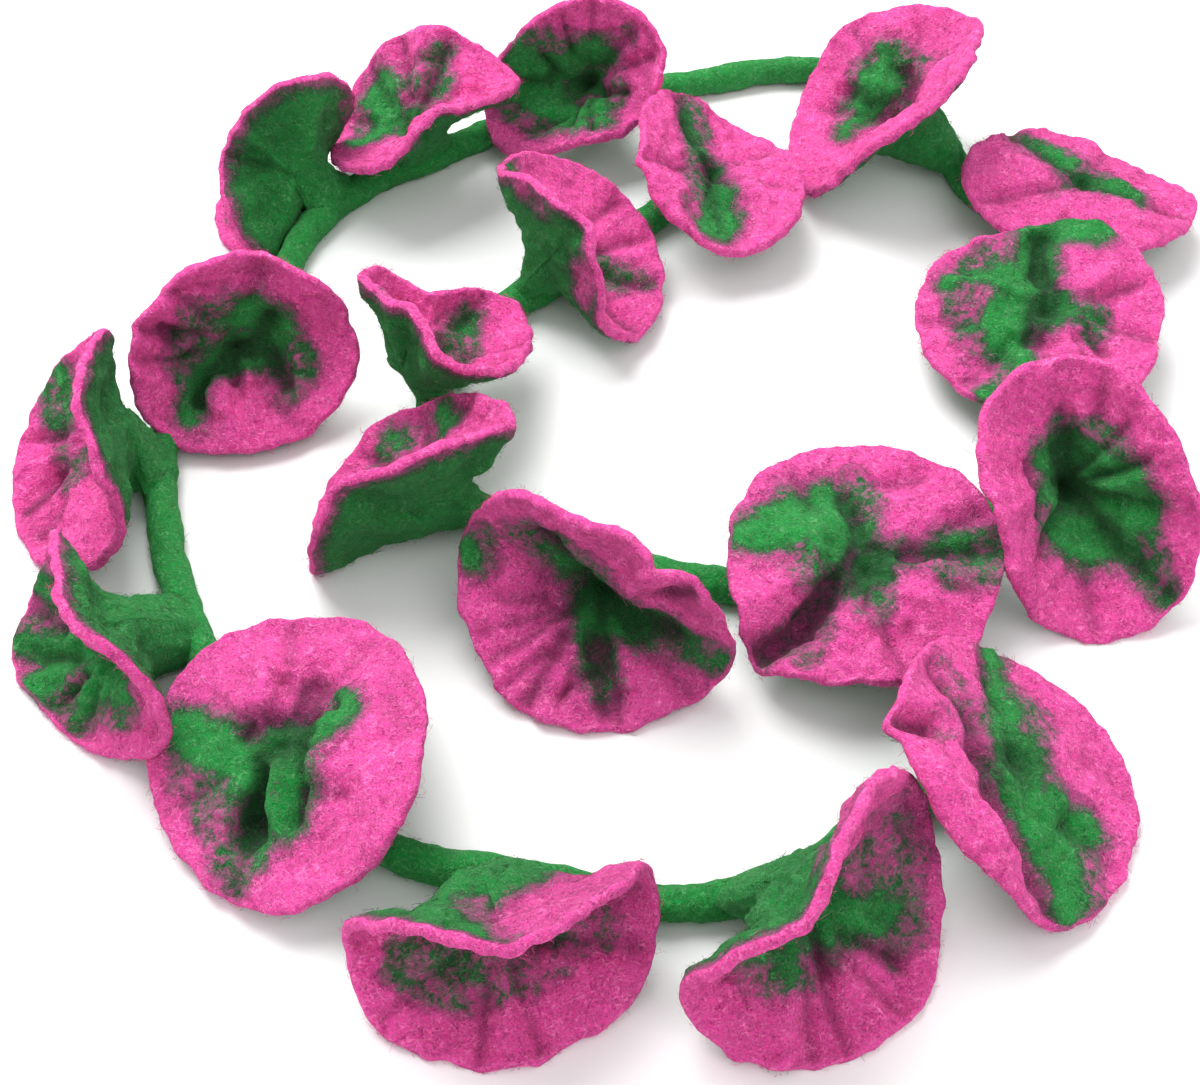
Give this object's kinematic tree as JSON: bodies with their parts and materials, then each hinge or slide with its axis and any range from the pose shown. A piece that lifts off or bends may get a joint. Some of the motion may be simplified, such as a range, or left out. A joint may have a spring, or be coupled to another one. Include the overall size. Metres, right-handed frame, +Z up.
{
  "type": "felt flower garland",
  "caption": "Garland of trumpet-shaped wool felt blooms along one felted rope, lying in a loose spiral on a flat surface.",
  "frame": {"origin": "on the table under the middle of the blooms' outline; the rope is a free cord and is not counted in that outline", "axes": "+Z up from the table, +Y away from the viewer of the picture, +X to that viewer's right"},
  "size_m": [0.425, 0.4295, 0.0627],
  "materials": {
    "green_felt": "hand-felted wool rope, matt, green",
    "pink_felt": "hand-felted wool, matt, pink rim running into a green heart and back"
  },
  "bodies": {
    "root": {"rope": "green_felt", "bloom_01": "pink_felt", "bloom_02": "pink_felt", "bloom_03": "pink_felt", "bloom_04": "pink_felt", "bloom_05": "pink_felt", "bloom_06": "pink_felt", "bloom_07": "pink_felt", "bloom_08": "pink_felt", "bloom_09": "pink_felt", "bloom_10": "pink_felt", "bloom_11": "pink_felt", "bloom_12": "pink_felt", "bloom_13": "pink_felt", "bloom_14": "pink_felt", "bloom_15": "pink_felt", "bloom_16": "pink_felt", "bloom_17": "pink_felt", "bloom_18": "pink_felt", "bloom_19": "pink_felt", "bloom_20": "pink_felt"}
  },
  "joints": []
}
